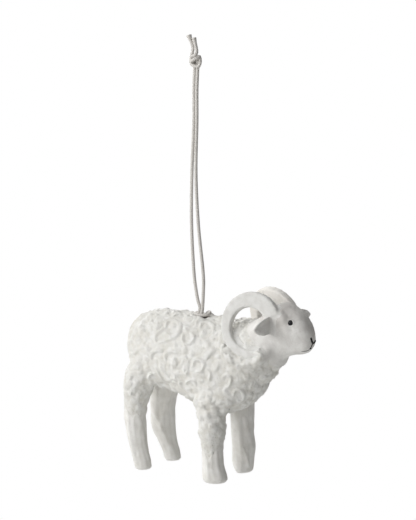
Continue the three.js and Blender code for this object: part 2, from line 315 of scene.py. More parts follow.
def plus(first, second):
    return maths("ADD", first, second)


def minus(first, second):
    return maths("SUBTRACT", first, second)


def times(first, second):
    return maths("MULTIPLY", first, second)


def vectorMaths(operation, first, second):
    return nodeAfter("ShaderNodeVectorMath", {0: first, 1: second}, operation=operation).outputs[0]


def scaled(vector, factor):
    return nodeAfter("ShaderNodeVectorMath", {0: vector, 3: factor}, operation="SCALE").outputs[0]


def remap(value, low, high, fromLow=0.0, fromHigh=1.0):
    return nodeAfter("ShaderNodeMapRange", {
        "Value": value, "From Min": fromLow, "From Max": fromHigh, "To Min": low, "To Max": high}).outputs[0]


def noiseOf(place, scale, detail, output=0, **more):
    inputs = {"Vector": place, "Scale": scale, "Detail": detail, **more}
    return nodeAfter("ShaderNodeTexNoise", inputs).outputs[output]


def swirlOf(place, scale):  # a noise vector with its middle at zero
    return vectorMaths("SUBTRACT", noiseOf(place, scale, 2.0, "Color"), (0.5, 0.5, 0.5))


def cellsOf(place, scale):
    return nodeAfter("ShaderNodeTexVoronoi", {"Vector": place, "Scale": scale}, feature="F1").outputs


def mixTones(factor, first, second):
    inputs = {"Factor": factor, 6: first, 7: second}
    return nodeAfter("ShaderNodeMix", inputs, data_type="RGBA").outputs[2]


def bumpOf(height, look):
    return nodeAfter("ShaderNodeBump", {
        "Height": height, "Strength": look["bump"], "Distance": look["bumpDepth"] * mm}).outputs[0]


def objectPlace(tree):
    return addNode(tree, "ShaderNodeTexCoord").outputs["Object"]


def namedFloat(tree, name):
    return addNode(tree, "GeometryNodeInputNamedAttribute", {"Name": name}, data_type="FLOAT").outputs[0]


def newGroup(kind, name, inputs, outputs):  # an input is a label, a kind of socket and a value
    tree = bpy.data.node_groups.new(name, kind)
    for label, socketKind, value in inputs:
        socket = tree.interface.new_socket(label, in_out="INPUT", socket_type="NodeSocket" + socketKind)
        if value is not None:
            socket.default_value = value
    for label, socketKind in outputs:
        tree.interface.new_socket(label, in_out="OUTPUT", socket_type="NodeSocket" + socketKind)
    return tree, addNode(tree, "NodeGroupInput").outputs, addNode(tree, "NodeGroupOutput").inputs


def newGeometryTree(name, numbers):
    kinds = {int: "Int", float: "Float", tuple: "Vector"}
    inputs = [(label, kinds[type(value)], value) for label, value in numbers.items()]
    inputs = [("Geometry", "Geometry", None), *inputs, ("Pulp", "Material", None)]
    return newGroup("GeometryNodeTree", name, inputs, [("Geometry", "Geometry")])


def endTree(tree, given, out, geometry):
    real = addNode(tree, "GeometryNodeRealizeInstances", {"Geometry": geometry})
    painted = addNode(tree, "GeometryNodeSetMaterial", {"Geometry": real.outputs[0],
                                                        "Material": given["Pulp"]})
    tree.links.new(painted.outputs[0], out["Geometry"])
    return tree


def endWithRise(tree, given, out, rise):  # raises the surface by millimetres, where the wool attribute says
    normal = addNode(tree, "GeometryNodeInputNormal").outputs[0]
    push = times(times(rise, namedFloat(tree, "wool")), mm)
    moved = addNode(tree, "GeometryNodeSetPosition", {"Geometry": given["Geometry"],
                                                      "Offset": scaled(normal, push)})
    return endTree(tree, given, out, moved.outputs[0])


def runTree(obj, tree, values):
    modifier = obj.modifiers.new(tree.name, "NODES")
    modifier.node_group = tree
    for item in tree.interface.items_tree:
        if item.item_type == "SOCKET" and item.in_out == "INPUT" and item.name in values:
            modifier[item.identifier] = values[item.name]
    bakeDown(obj)


# materials

grainSpec = {
    "mottleFade": (0.35, 0.65), "mottleShare": 0.55, "holeFade": (0.05, 0.3), "speckShare": 0.35,
    "fibreRough": 0.65, "fibreBend": 1.2, "rough": (0.78, 0.98),
}


def makePulpGroup(spec):  # dried paper pulp: mottled tone, fine fibres and pin holes, and a darker tone where painted shade is given
    tones = [(label, "Color", None) for label in ("Light Tone", "Dark Tone")]
    numbers = [(label, "Float", 0.0) for label in ("Mottle Size", "Grain Size", "Pit Depth", "Painted Shade")]
    tree, given, out = newGroup("ShaderNodeTree", "pulpGrain", tones + numbers,
                                [("Color", "Color"), ("Roughness", "Float"), ("Height", "Float")])
    place = objectPlace(tree)
    mottle = noiseOf(place, given["Mottle Size"], 4.0)
    fibre = noiseOf(place, given["Grain Size"], 6.0, Roughness=spec["fibreRough"],
                    Distortion=spec["fibreBend"])
    pinHole = remap(cellsOf(place, given["Grain Size"])["Distance"], 0.0, 1.0, *spec["holeFade"])
    spread = remap(mottle, 0.0, spec["mottleShare"], *spec["mottleFade"])
    speck = times(minus(1.0, pinHole), spec["speckShare"])
    # painted shade: its share pulls the tone towards the dark one
    share = addNode(tree, "ShaderNodeMath", {0: plus(spread, speck), 1: given["Painted Shade"]},
                    operation="ADD", use_clamp=True).outputs[0]
    tree.links.new(mixTones(share, given["Light Tone"], given["Dark Tone"]), out["Color"])
    tree.links.new(remap(fibre, *spec["rough"]), out["Roughness"])
    tree.links.new(plus(fibre, times(pinHole, given["Pit Depth"])), out["Height"])
    return tree


def newMaterial(name, fixed):
    material = bpy.data.materials.new(name)
    material.use_nodes = True
    tree = material.node_tree
    tree.nodes.clear()
    shader = addNode(tree, "ShaderNodeBsdfPrincipled", fixed)
    output = addNode(tree, "ShaderNodeOutputMaterial", {"Surface": shader.outputs[0]})
    return material, tree, shader, output


pulpGroup = makePulpGroup(grainSpec)
pulpLooks = {
    "fleece": {"Light Tone": (0.8, 0.795, 0.77, 1), "Dark Tone": (0.64, 0.62, 0.56, 1), "Mottle Size": 260.0,
               "Grain Size": 1150.0, "Pit Depth": 0.5, "mark": "creaseShade", "markShare": 0.45, "bump": 1.0,
               "bumpDepth": 0.46},
    # the face's mark is painted shade on the forehead
    "face": {"Light Tone": (0.77, 0.76, 0.735, 1), "Dark Tone": (0.565, 0.545, 0.52, 1), "Mottle Size": 220.0,
             "Grain Size": 1300.0, "Pit Depth": 0.3, "mark": "foreheadShade", "markShare": 0.95, "bump": 0.5,
             "bumpDepth": 0.2},
    "leg": {"Light Tone": (0.81, 0.8, 0.775, 1), "Dark Tone": (0.66, 0.645, 0.605, 1), "Mottle Size": 240.0,
            "Grain Size": 1400.0, "Pit Depth": 0.4, "mark": "creaseShade", "markShare": 0.4, "bump": 0.4,
            "bumpDepth": 0.16},
    "rightHorn": {"Light Tone": (0.7, 0.695, 0.675, 1), "Dark Tone": (0.57, 0.56, 0.53, 1),
                  "Mottle Size": 320.0, "Grain Size": 1900.0, "Pit Depth": 0.45, "bump": 0.45,
                  "bumpDepth": 0.16},
}
pulpLooks["leftHorn"] = {  # the far horn: the same card painted lighter and creamier, as painted light
    **pulpLooks["rightHorn"], "Light Tone": (0.82, 0.8, 0.765, 1), "Dark Tone": (0.69, 0.665, 0.62, 1)}


def makePulpMaterial(name, look):
    material, tree, shader, _ = newMaterial(name, {"Specular IOR Level": 0.25})
    grain = addNode(tree, "ShaderNodeGroup", node_tree=pulpGroup)
    for socket in grain.inputs:
        if socket.name in look:
            socket.default_value = look[socket.name]
    if "mark" in look:  # painted shade: creases and the forehead get a warmer, darker tone
        mark = addNode(tree, "ShaderNodeAttribute", attribute_name=look["mark"])
        tree.links.new(times(mark.outputs["Fac"], look["markShare"]), grain.inputs["Painted Shade"])
    tree.links.new(grain.outputs["Color"], shader.inputs["Base Color"])
    tree.links.new(grain.outputs["Roughness"], shader.inputs["Roughness"])
    tree.links.new(bumpOf(grain.outputs["Height"], look), shader.inputs["Normal"])
    return material


pulp = {name: makePulpMaterial(name + "Pulp", look) for name, look in pulpLooks.items()}

wornLooks = {
    "beadGloss": {"tones": [(0.002, 0.002, 0.003, 1), (0.007, 0.007, 0.009, 1)], "size": 2500.0,
                  "detail": 3.0, "rough": (0.14, 0.22), "fixed": {"Specular IOR Level": 0.22}},
    "facePaint": {"tones": [(0.003, 0.003, 0.004, 1), (0.015, 0.014, 0.013, 1)], "size": 1800.0,
                  "detail": 5.0, "rough": (0.4, 0.65), "fixed": {"Specular IOR Level": 0.15}},
    "mouthLine": {"tones": [(0.1, 0.095, 0.09, 1), (0.3, 0.29, 0.28, 1)], "size": 1500.0, "detail": 5.0,
                  "rough": (0.7, 0.7), "fixed": {}},
    "ironWire": {"tones": [(0.03, 0.028, 0.025, 1), (0.12, 0.085, 0.06, 1)], "size": 900.0, "detail": 6.0,
                 "rough": (0.35, 0.7), "fixed": {"Metallic": 0.85}},
}


def makeWornMaterial(name, look):  # tone and roughness follow one noise
    material, tree, shader, _ = newMaterial(name, look["fixed"])
    patches = noiseOf(objectPlace(tree), look["size"], look["detail"])
    tree.links.new(mixTones(patches, *look["tones"]), shader.inputs["Base Color"])
    tree.links.new(remap(patches, *look["rough"]), shader.inputs["Roughness"])
    return material


worn = {name: makeWornMaterial(name, look) for name, look in wornLooks.items()}

# the braid's hollows are painted darker than its crowns: painted shade
cordLook = {
    "hollow": (0.42, 0.4, 0.378, 1), "crown": (0.79, 0.77, 0.735, 1), "yarnShare": 0.6, "fuzzShare": 0.4,
    "soil": (0.5, 0.47, 0.44, 1), "soilShare": 0.2, "soilSize": 160.0, "fuzzSize": 5200.0,
    "bump": 0.35, "bumpDepth": 0.08, "fixed": {"Roughness": 0.85, "Specular IOR Level": 0.2},
}


def makeCottonCord(look):
    material, tree, shader, _ = newMaterial("cottonCord", look["fixed"])
    place = objectPlace(tree)
    yarn = addNode(tree, "ShaderNodeAttribute", attribute_name="braid").outputs["Fac"]
    fuzz = noiseOf(place, look["fuzzSize"], 5.0)
    soil = noiseOf(place, look["soilSize"], 3.0)
    # painted shade in the braid's hollows, mixed with random fuzz
    share = plus(times(yarn, look["yarnShare"]), times(fuzz, look["fuzzShare"]))
    tone = mixTones(share, look["hollow"], look["crown"])
    aged = mixTones(times(soil, look["soilShare"]), tone, look["soil"])
    tree.links.new(aged, shader.inputs["Base Color"])
    tree.links.new(bumpOf(fuzz, look), shader.inputs["Normal"])
    return material


cottonCord = makeCottonCord(cordLook)
print(f"materials: {len(pulp)} of pulp, {len(worn)} of bead, paint and wire, one of cotton")


# camera, lights and backdrop

shot = {
    "azimuth": 39.0, "elevation": 11.5, "distance": 1200.0, "roll": 1.5,
    "millimetresPerPixel": 0.45, "imageTall": 520, "imageWide": 416,
    "barPixel": (202.6, 316.5),  # where the eye's bar falls in the picture
    "sensor": 36.0, "clipStart": 50.0, "clipEnd": 60000.0,
}


def aimCamera(shot):
    turn = math.radians(shot["azimuth"])
    rise = math.radians(shot["elevation"])
    back = Vector((math.sin(turn) * math.cos(rise), -math.cos(turn) * math.cos(rise), math.sin(rise)))
    right = Vector((math.cos(turn), math.sin(turn), 0))
    up = back.cross(right)
    roll = Matrix.Rotation(math.radians(-shot["roll"]), 3, back)
    right, up = roll @ right, roll @ up
    bar = Vector((0, 0, barHeight))
    perPixel = shot["millimetresPerPixel"] * mm
    acrossPixels = shot["imageWide"] / 2 - shot["barPixel"][0]
    downPixels = shot["barPixel"][1] - shot["imageTall"] / 2
    aim = bar + right * (acrossPixels * perPixel) + up * (downPixels * perPixel)
    place = bar + back * (shot["distance"] * mm)
    data = bpy.data.cameras.new("camera")
    data.sensor_width = shot["sensor"]
    data.lens = shot["sensor"] * shot["distance"] / (shot["millimetresPerPixel"] * shot["imageTall"])
    data.clip_start = shot["clipStart"] * mm
    data.clip_end = shot["clipEnd"] * mm
    camera = bpy.data.objects.new("camera", data)
    scene.collection.objects.link(camera)
    look = (place - aim).normalized()
    side = up.cross(look).normalized()
    frameAxes = Matrix((side, look.cross(side), look)).transposed()
    camera.matrix_world = Matrix.Translation(place) @ frameAxes.to_4x4()
    scene.camera = camera
    return back, right


viewBack, viewRight = aimCamera(shot)

softboxes = {
    "key": {"side": -1.0, "up": 0.6, "back": 0.35, "distance": 700.0, "size": 750.0, "power": 4.75},
    "fill": {"side": -0.5, "up": 0.2, "back": 1.0, "distance": 900.0, "size": 600.0, "power": 1.0},
    "rear": {"side": -0.05, "up": 0.8, "back": -0.9, "distance": 900.0, "size": 700.0, "power": 5.3},
    "front": {"side": 1.0, "up": -0.35, "back": 0.4, "distance": 900.0, "size": 600.0, "power": 0.35},
}
backdrop = {
    "lampAim": -25.0, "ambient": 0.18, "ambientTone": (1, 0.995, 0.985, 1), "white": (1, 1, 1, 1),
    "floorDrop": 90.0, "floorHalf": 30000.0, "floorTone": (0.82, 0.82, 0.81, 1), "floorRough": 0.9,
}


def addSoftbox(name, side, up, back, distance, size, power):
    data = bpy.data.lights.new(name, "AREA")
    data.shape = "DISK"
    data.size = size * mm
    data.energy = power
    lamp = bpy.data.objects.new(name, data)
    scene.collection.objects.link(lamp)
    towards = (viewRight * side + Vector((0, 0, 1)) * up + viewBack * back).normalized()
    lamp.location = toFrame((0, 0, backdrop["lampAim"])) + towards * (distance * mm)
    lamp.rotation_mode = "QUATERNION"
    lamp.rotation_quaternion = towards.to_track_quat("Z", "Y")


def mixBySight(tree, lit, seen):  # the second one wherever the camera sees it, straight or by way of a gloss
    path = addNode(tree, "ShaderNodeLightPath").outputs
    bounced = maths("MAXIMUM", path["Is Glossy Ray"], path["Is Transmission Ray"])
    sight = maths("MAXIMUM", path["Is Camera Ray"], bounced)
    return addNode(tree, "ShaderNodeMixShader", {0: sight, 1: lit.outputs[0], 2: seen.outputs[0]}).outputs[0]


def addBackdrop(spec):
    world = bpy.data.worlds.new("studio")
    scene.world = world
    world.use_nodes = True
    tree = world.node_tree
    tree.nodes.clear()
    dim = addNode(tree, "ShaderNodeBackground", {"Color": spec["ambientTone"], "Strength": spec["ambient"]})
    white = addNode(tree, "ShaderNodeBackground", {"Color": spec["white"], "Strength": 1.0})
    addNode(tree, "ShaderNodeOutputWorld", {"Surface": mixBySight(tree, dim, white)})
    half = spec["floorHalf"] * mm
    level = soleHeight - spec["floorDrop"] * mm
    corners = [(-half, -half, level), (half, -half, level), (half, half, level), (-half, half, level)]
    floor = meshFrom("floor", corners, [(0, 1, 2, 3)])
    fixed = {"Base Color": spec["floorTone"], "Roughness": spec["floorRough"]}
    material, tree, shader, output = newMaterial("paleFloor", fixed)
    glow = addNode(tree, "ShaderNodeEmission", {"Color": spec["white"], "Strength": 1.0})
    tree.links.new(mixBySight(tree, shader, glow), output.inputs["Surface"])
    floor.data.materials.append(material)
    scene.view_settings.view_transform = "Standard"


for name, softbox in softboxes.items():
    addSoftbox(name, **softbox)
addBackdrop(backdrop)
print(f"stage: camera, {len(softboxes)} softboxes, ambient light and floor")


# cord

# a strand's route gives x and the drop below the hang point
# the knot is measured from the hang point, and the hitch from the bar it turns round
cordSpec = {
    "diameter": 1.5, "pivotUp": 4.6, "drop": 112.0,
    "frontRoute": [(0.85, 0.3), (0.1, 9.6), (-0.4, 24), (-1.7, 47), (-1.1, 70), (1.0, 93), (0.5, 104),
                   (0.1, 108)],
    "rearRoute": [(-0.85, 0.3), (-1.6, 9.6), (-2.1, 24), (-4.0, 47), (-5.0, 70), (-4.3, 93), (-2.7, 104),
                  (-1.45, 108)],
    "splitDrop": 97.0,  # above it the strands, below it the hitch piece
    "entryDrop": 100.0,  # the next route point below it leads into the hitch
    "bendAbove": 6.0, "bendBelow": 1.5,  # the hitch bends between these heights round its pivot
    "hitchRoute": [(0.1, 0, 4.2), (0.1, -0.25, 2.9), (0.1, -0.95, 1.4), (0.1, -1.47, 0), (0.3, 0, -1.47),
                   (0.8, 1.47, 0.1), (1.1, 2.0, 1.4), (2.3, 1.95, 2.0), (3.55, 1.0, 1.95),
                   (3.75, -0.35, 1.55), (2.6, -1.7, 1.15), (1.0, -2.4, 1.05), (-0.6, -2.5, 1.15),
                   (-1.9, -2.15, 1.3), (-2.65, -1.25, 1.5), (-2.75, -0.1, 1.6), (-2.5, 1.47, 0.1),
                   (-1.75, 0, -1.47), (-1.45, -1.47, 0), (-1.45, -0.95, 1.4), (-1.45, -0.25, 2.9),
                   (-1.45, 0, 4.2)],
    "frontKnot": [(0.85, 0, -0.3), (0.9, 0.4, 1.2), (0.6, 1.3, 2.4), (-1.7, 1.0, 2.6), (-2.2, -0.8, 2.8),
                  (-0.6, -1.9, 3.7), (1.2, -1.5, 4.7), (1.9, 0, 5.1), (0.8, 1.2, 5.2), (-1.1, 0.7, 5.2),
                  (-0.9, -0.9, 5.5), (0.5, -1.0, 6.1), (0.75, -0.3, 7.3), (0.37, 0, 9.1), (-0.75, 0, 13.6)],
    "rearKnot": [(-0.85, 0, -0.3), (-0.9, 0.3, 0.8), (-1.5, 0.9, 2.6), (-0.3, 1.3, 4.5), (1.8, 0.5, 4.8),
                 (2.55, -0.2, 2.9), (1.9, -0.6, 1.1), (0.2, -1.2, 1.2), (-1.6, -1.2, 2.1), (-2.4, -0.5, 4.1),
                 (-1.9, -0.3, 6.2), (-1.65, 0, 9.4), (-3.65, 0, 14.6)],
    "knotHeart": [(0.8, 0.2, 0.9), (1.0, 0.3, 2.4), (0.9, 0.2, 3.8), (0.2, 0.1, 5.4)],
    "knotFlares": [0.35, 0.65, 0.0], "flareReach": 2.2,
    "sides": 20, "ringStep": 0.3, "braidDepth": 0.07, "braidMiddle": 0.35, "braidTurns": 5, "braidPitch": 3.4,
    "tipReach": 0.6, "tipBraid": 0.3,
}


def sweepCord(name, routes, spec, flares=(0.0,)):  # round braided cord, closed at the ends
    sides, step, turns, half = spec["sides"], spec["ringStep"], spec["braidTurns"], spec["diameter"] / 2
    points, faces, braid = [], [], []
    for route, flare in zip(routes, flares):
        start, rings = len(points), len(route)
        normal = None
        for i, point in enumerate(route):
            ahead = (route[min(i + 1, rings - 1)] - route[max(i - 1, 0)]).normalized()
            if normal is None:
                normal = ahead.orthogonal().normalized()
            normal = (normal - ahead * normal.dot(ahead)).normalized()
            across = ahead.cross(normal)
            swell = 1 + flare * max(0, 1 - (rings - 1 - i) * step / spec["flareReach"])
            phase = i * step / spec["braidPitch"] * 4 * math.pi
            for angle in circle(sides):
                weave = math.cos(turns * angle + phase) * math.cos(turns * angle - phase)
                radius = half * swell * (1 + spec["braidDepth"] * (weave - spec["braidMiddle"]))
                points.append(point + (normal * math.cos(angle) + across * math.sin(angle)) * radius)
                braid.append(0.5 + 0.5 * weave)
        faces += ringFaces(rings, sides, start)
        for ring, inner in ((0, 1), (rings - 1, rings - 2)):
            tip = len(points)
            points.append(route[ring] + (route[ring] - route[inner]) * spec["tipReach"])
            braid.append(spec["tipBraid"])
            for j in range(sides):
                a, b = start + ring * sides + j, start + ring * sides + (j + 1) % sides
                faces.append((a, b, tip) if ring else (b, a, tip))
    obj = meshFrom(name, [p * mm for p in points], faces)
    storeFloat(obj, "braid", braid)
    obj.data.materials.append(cottonCord)
    obj.data.shade_smooth()
    return obj


def makeCord(spec):
    step = spec["ringStep"]
    lines, entries = {}, {}
    for side in ("front", "rear"):
        route = [(x, 0, -drop) for x, drop in spec[side + "Route"]]
        whole = routeOf(route, step)
        cut = next(i for i, p in enumerate(whole) if p.z < -spec["splitDrop"])
        lines[side] = whole[:cut + 1]
        entries[side] = next(p for p in route if p[2] < -spec["entryDrop"])
    turns = [(x, y, z - spec["drop"]) for x, y, z in spec["hitchRoute"]]
    hitchPoints = [lines["front"][-1], entries["front"], *turns, entries["rear"], lines["rear"][-1]]
    hitchLine = routeOf(hitchPoints, step)
    knotLines = [routeOf(spec[part], step) for part in ("frontKnot", "rearKnot", "knotHeart")]
    knot = sweepCord("cord_knot_tie", knotLines, spec, spec["knotFlares"])
    strands = {side: sweepCord(f"cord_{side}_strand", [line], spec) for side, line in lines.items()}
    hitch = sweepCord("cord_lark_hitch", [hitchLine], spec)
    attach(knot, "hanger")
    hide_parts("cord_knot", "cord_tail_front", "cord_tail_rear")
    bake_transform(hitch)
    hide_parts("cord_hitch")
    for side, strand in strands.items():
        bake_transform(strand)
        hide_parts("cord_strand_" + side)
    print(f"cord: hitch {lengthOf(hitchLine):.1f} mm, strands of {lengthOf(lines['front']):.1f} mm")


makeCord(cordSpec)


# the plain form under all the pulp

# fills are pulp pressed into the corners, on both sides or one: place and half size
formSpec = {
    "voxel": 0.7, "easing": 6,
    "fills": {
        "both": [((-22.0, 11.5, -24.0), (7.0, 3.6, 8.0)), ((18.0, 10.6, -32.5), (6.4, 3.8, 6.0)),
                 ((10.5, 12.5, -36.0), (5.0, 3.2, 6.0)), ((26.4, 11.2, -11.2), (5.6, 3.7, 4.1)),
                 ((36.0, 2.0, -17.5), (5.0, 5.0, 8.0)), ((41.0, 1.5, -14.0), (5.0, 4.5, 5.0))],
        "right": [((34.0, 11.0, -14.3), (6.0, 3.4, 3.5)), ((40.3, 10.5, -11.8), (4.4, 3.0, 3.7))],
        "left": [((31.0, 9.6, -13.8), (5.0, 3.2, 3.3))],
    },
    "nodes": ["body_shell_right", "body_shell_left", "paper_core", "head", "eye_right", "eye_left", "tail",
              "leg_front_right", "leg_front_left", "leg_hind_right", "leg_hind_left", "leg_wire_front_right",
              "leg_wire_front_left", "leg_wire_hind_right", "leg_wire_hind_left", "spine_wire"],
}


def addFills(obj, fills):
    signs = {"both": (-1, 1), "right": (-1,), "left": (1,)}
    for where, balls in fills.items():
        for (x, y, z), size in balls:
            for sign in signs[where]:
                bm = openMesh(obj)
                at = Matrix.Translation(Vector((x, sign * y, z)) * mm + Vector((0, 0, barHeight)))
                shape = at @ Matrix.Diagonal((*size, 1))
                bmesh.ops.create_icosphere(bm, subdivisions=4, radius=mm, matrix=shape)
                closeMesh(bm, obj.data)


ramForm = copyNodes("ram_form", formSpec["nodes"])
addFills(ramForm, formSpec["fills"])
fuse(ramForm, formSpec["voxel"], formSpec["easing"])
print(f"form: {len(ramForm.data.vertices)} points")


# fleece coat

# pairs are the two ends of a fade, apart from hornCentre, a place in x and z
coatSpec = {
    "neckEdge": 32.3, "neckCut": 38.0, "neckFade": 2.6, "neckFadeAhead": 0.4, "neckTopShift": 6.0,
    "neckTop": (0, 5), "throatShift": 5.5, "throat": (10, 17), "wobble": 1.6, "wobbleSize": 4.0,
    "woolLine": {("front", "right"): 14.0, ("hind", "right"): 25.0, ("front", "left"): 34.0,
                 ("hind", "left"): 39.0},
    "legFade": 9.0, "legWobble": 5.5, "legCut": 9.0, "legFrontX": -5.0,
    "sunk": -0.3, "dive": -1.6, "diveShare": (0.05, 0.5), "skinShare": (0.55, 0.95),
    "mouthHalf": 3.5, "mouthDepth": -6.0, "mouthClear": 4.7, "mouthFade": 1.0,
    "lipHeight": 1.5, "lipReach": 8.0, "lipSide": (0.5, 3.5), "lipEnd": (3.5, 7.0),
    "rampReach": 6.5, "rampLift": 2.1, "rampBelow": -3.0, "rampRadius": 13.0, "rampFade": 3.0,
    "hornCentre": (34.6, 1.1),
    "calmRump": (27, 41), "calmShare": 0.45, "calmLegs": (32, 40), "legCalm": 0.9,
    "legSwell": 1.0, "swellFoot": (12, 24), "swellTop": (36, 46),
    # the crease pair: heights over the plain coat between which the painted shade in the creases fades out
    "voxel": 0.46, "easing": 3, "lastEasing": 1, "creaseShade": (-0.35, 0.2),
    "baseEasing": 30, "easeLegs": (-52, -40), "easeMouth": (7, 10), "easeNeck": (22, 31),
    "curls": {"Seed": 11, "Curl Gap": 11.0, "Arc Gap": 9.0, "Lump Gap": 3.8, "Curl Radius": 2.9,
              "Arc Radius": 2.4, "Strand": 0.36, "Lump Radius": 2.2, "Warp": 1.0, "Warp Size": 0.28},
    "clumps": {"Large": 0.22, "Large Size": 6.4, "Small": 0.16, "Small Size": 2.2, "Fine": 0.28,
               "Fine Size": 1.1, "Swirl": 3.0, "Swirl Size": 7.0},
    "handStep": 0.4, "handHalf": 0.72, "handLift": 0.2, "handWork": 0.4, "handBeside": (1.0, 3.2),
}
strewSpec = {
    "strandSides": 6, "curlSteps": 12, "curlTurns": 1.25, "curlHeart": 0.3, "arcSteps": 9, "arcSweep": 205.0,
    "lumpScale": (1.0, 0.8, 0.34), "seedShifts": (0.0, 17.0, 34.0), "sizeSeed": 5.0, "sizes": (0.55, 1.25),
    "fromWool": 0.25, "edgeSize": 0.1, "fullWool": 0.9, "mostPerArea": 400000.0,
}
# dabs rise from their middle or, in some cells, from a ring round it
dabSpec = {"width": 0.55, "ringShare": 0.7, "ringTop": 0.4, "ringWidth": 0.17, "lowest": -0.4}
foldSpec = {"rough": 0.55, "bend": 0.6, "mean": 0.1, "gain": 4.0, "fineSeed": 7.0}
# curls laid one by one on the right side, and again on the left
handCurls = [
    [(-11.4, -12.4, -4.6), (-12.7, -10.3, -2.5), (-10.7, -8.7, -1.3), (-6.9, -9.4, -1.7), (-4.1, -11.6, -3.9),
     (-5.0, -13.3, -6.3), (-8.3, -13.9, -7.2), (-11.2, -13.2, -6.1)],
    [(-15.1, -15.1, -10.7), (-16.3, -14.4, -8.7), (-15.2, -13.4, -6.5), (-12.2, -12.4, -4.7)],
    [(-13.8, -15.2, -11.1), (-8.8, -14.7, -9.0), (-4.7, -13.8, -7.1), (-3.2, -12.0, -4.4),
     (-5.8, -8.7, -1.4)],
    [(6.2, -10.1, -3.0), (5.7, -7.9, -1.3), (8.1, -6.4, -0.5), (12.2, -7.6, -1.5), (14.0, -10.1, -3.7),
     (12.4, -11.4, -5.0)],
    [(-1.1, -13.0, -5.9), (-0.7, -14.2, -8.2), (1.7, -14.7, -9.7), (4.8, -14.1, -8.5), (5.1, -12.8, -6.2),
     (2.5, -12.0, -4.8)],
    [(-18.3, -15.5, -18.8), (-17.3, -15.7, -16.1), (-13.9, -15.7, -14.3), (-10.5, -15.9, -14.4)],
    [(-9.4, -16.1, -18.2), (-8.8, -16.0, -15.3), (-5.5, -15.9, -13.6), (-2.3, -15.9, -14.2)],
    [(-15.9, -15.4, -22.4), (-14.4, -14.5, -25.6), (-13.1, -12.7, -29.3)],
    [(-13.1, -15.7, -21.2), (-10.8, -15.4, -23.7), (-8.2, -14.7, -26.7)],
    [(6.7, -16.0, -18.9), (7.2, -15.8, -16.5), (10.2, -15.5, -15.6), (12.4, -15.5, -17.3),
     (11.5, -15.8, -20.2), (8.1, -15.9, -21.5)],
    [(14.1, -15.5, -19.3), (15.9, -15.2, -22.0), (14.8, -15.1, -25.0)],
    [(21.8, -14.4, -23.0), (24.1, -14.1, -21.2), (26.0, -13.7, -22.6), (25.2, -13.2, -25.6),
     (21.9, -13.2, -28.9), (23.7, -11.9, -30.4)],
    [(25.3, -10.9, -31.2), (26.6, -11.6, -28.6), (28.9, -10.4, -28.2), (28.9, -8.2, -30.9),
     (26.8, -7.3, -33.8), (25.6, -9.3, -33.1)],
    [(1.2, -14.8, -28.1), (3.4, -15.4, -26.1), (6.7, -15.4, -26.0), (6.9, -14.8, -28.3)],
    [(35.8, -13.8, -11.6), (38.2, -13.6, -9.6), (41.2, -12.7, -9.6), (42.6, -11.9, -11.9),
     (41.0, -12.5, -14.3)],
]


def makeCurlTree(numbers, spec):  # curls, arcs and flat lumps strewn over the wool, then warped together
    tree, given, out = newGeometryTree("woolCurls", numbers)
    base = given["Geometry"]
    wool = namedFloat(tree, "wool")

    def inMetres(label, factor=mm):
        return times(given[label], factor)

    profile = addNode(tree, "GeometryNodeCurvePrimitiveCircle", {
        "Resolution": spec["strandSides"], "Radius": inMetres("Strand")})

    def strand(curve):
        return addNode(tree, "GeometryNodeCurveToMesh", {
            "Curve": curve.outputs[0], "Profile Curve": profile.outputs[0], "Fill Caps": True})

    curl = addNode(tree, "GeometryNodeCurveSpiral", {
        "Resolution": spec["curlSteps"], "Rotations": spec["curlTurns"],
        "Start Radius": inMetres("Curl Radius", spec["curlHeart"] * mm),
        "End Radius": inMetres("Curl Radius"), "Height": 0.0})
    arc = addNode(tree, "GeometryNodeCurveArc", {
        "Resolution": spec["arcSteps"], "Radius": inMetres("Arc Radius"),
        "Sweep Angle": math.radians(spec["arcSweep"])})
    lump = addNode(tree, "GeometryNodeMeshIcoSphere", {"Radius": inMetres("Lump Radius"), "Subdivisions": 2})
    flat = addNode(tree, "GeometryNodeTransform", {"Geometry": lump.outputs[0], "Scale": spec["lumpScale"]})
    worked = maths("GREATER_THAN", wool, spec["fromWool"])
    joined = addNode(tree, "GeometryNodeJoinGeometry")
    kinds = ((strand(curl), "Curl Gap"), (strand(arc), "Arc Gap"), (flat, "Lump Gap"))
    for (shape, gap), seedShift in zip(kinds, spec["seedShifts"]):
        seed = plus(given["Seed"], seedShift)
        spots = addNode(tree, "GeometryNodeDistributePointsOnFaces", {
            "Mesh": base, "Selection": worked, "Distance Min": inMetres(gap), "Density Factor": wool,
            "Density Max": spec["mostPerArea"], "Seed": seed}, distribute_method="POISSON")
        spin = addNode(tree, "FunctionNodeRandomValue", {2: 0.0, 3: 2 * math.pi, "Seed": seed})
        angles = addNode(tree, "ShaderNodeCombineXYZ", {"Z": spin.outputs[1]})
        euler = addNode(tree, "FunctionNodeEulerToRotation", {0: angles.outputs[0]})
        turned = addNode(tree, "FunctionNodeRotateRotation", {
            "Rotation": spots.outputs["Rotation"], "Rotate By": euler.outputs[0]}, rotation_space="LOCAL")
        smallest, largest = spec["sizes"]
        size = addNode(tree, "FunctionNodeRandomValue", {
            2: smallest, 3: largest, "Seed": plus(seed, spec["sizeSeed"])})
        edge = remap(wool, spec["edgeSize"], 1.0, 0.0, spec["fullWool"])
        layer = addNode(tree, "GeometryNodeInstanceOnPoints", {
            "Points": spots.outputs["Points"], "Instance": shape.outputs[0], "Rotation": turned.outputs[0],
            "Scale": times(size.outputs[1], edge)})
        tree.links.new(layer.outputs[0], joined.inputs[0])
    real = addNode(tree, "GeometryNodeRealizeInstances", {"Geometry": joined.outputs[0]})
    place = addNode(tree, "GeometryNodeInputPosition").outputs[0]
    swirl = swirlOf(place, maths("DIVIDE", given["Warp Size"], mm))
    warped = addNode(tree, "GeometryNodeSetPosition", {
        "Geometry": real.outputs[0], "Offset": scaled(swirl, inMetres("Warp", 2 * mm))})
    final = addNode(tree, "GeometryNodeJoinGeometry")
    tree.links.new(warped.outputs[0], final.inputs[0])
    tree.links.new(base, final.inputs[0])
    return endTree(tree, given, out, final.outputs[0])


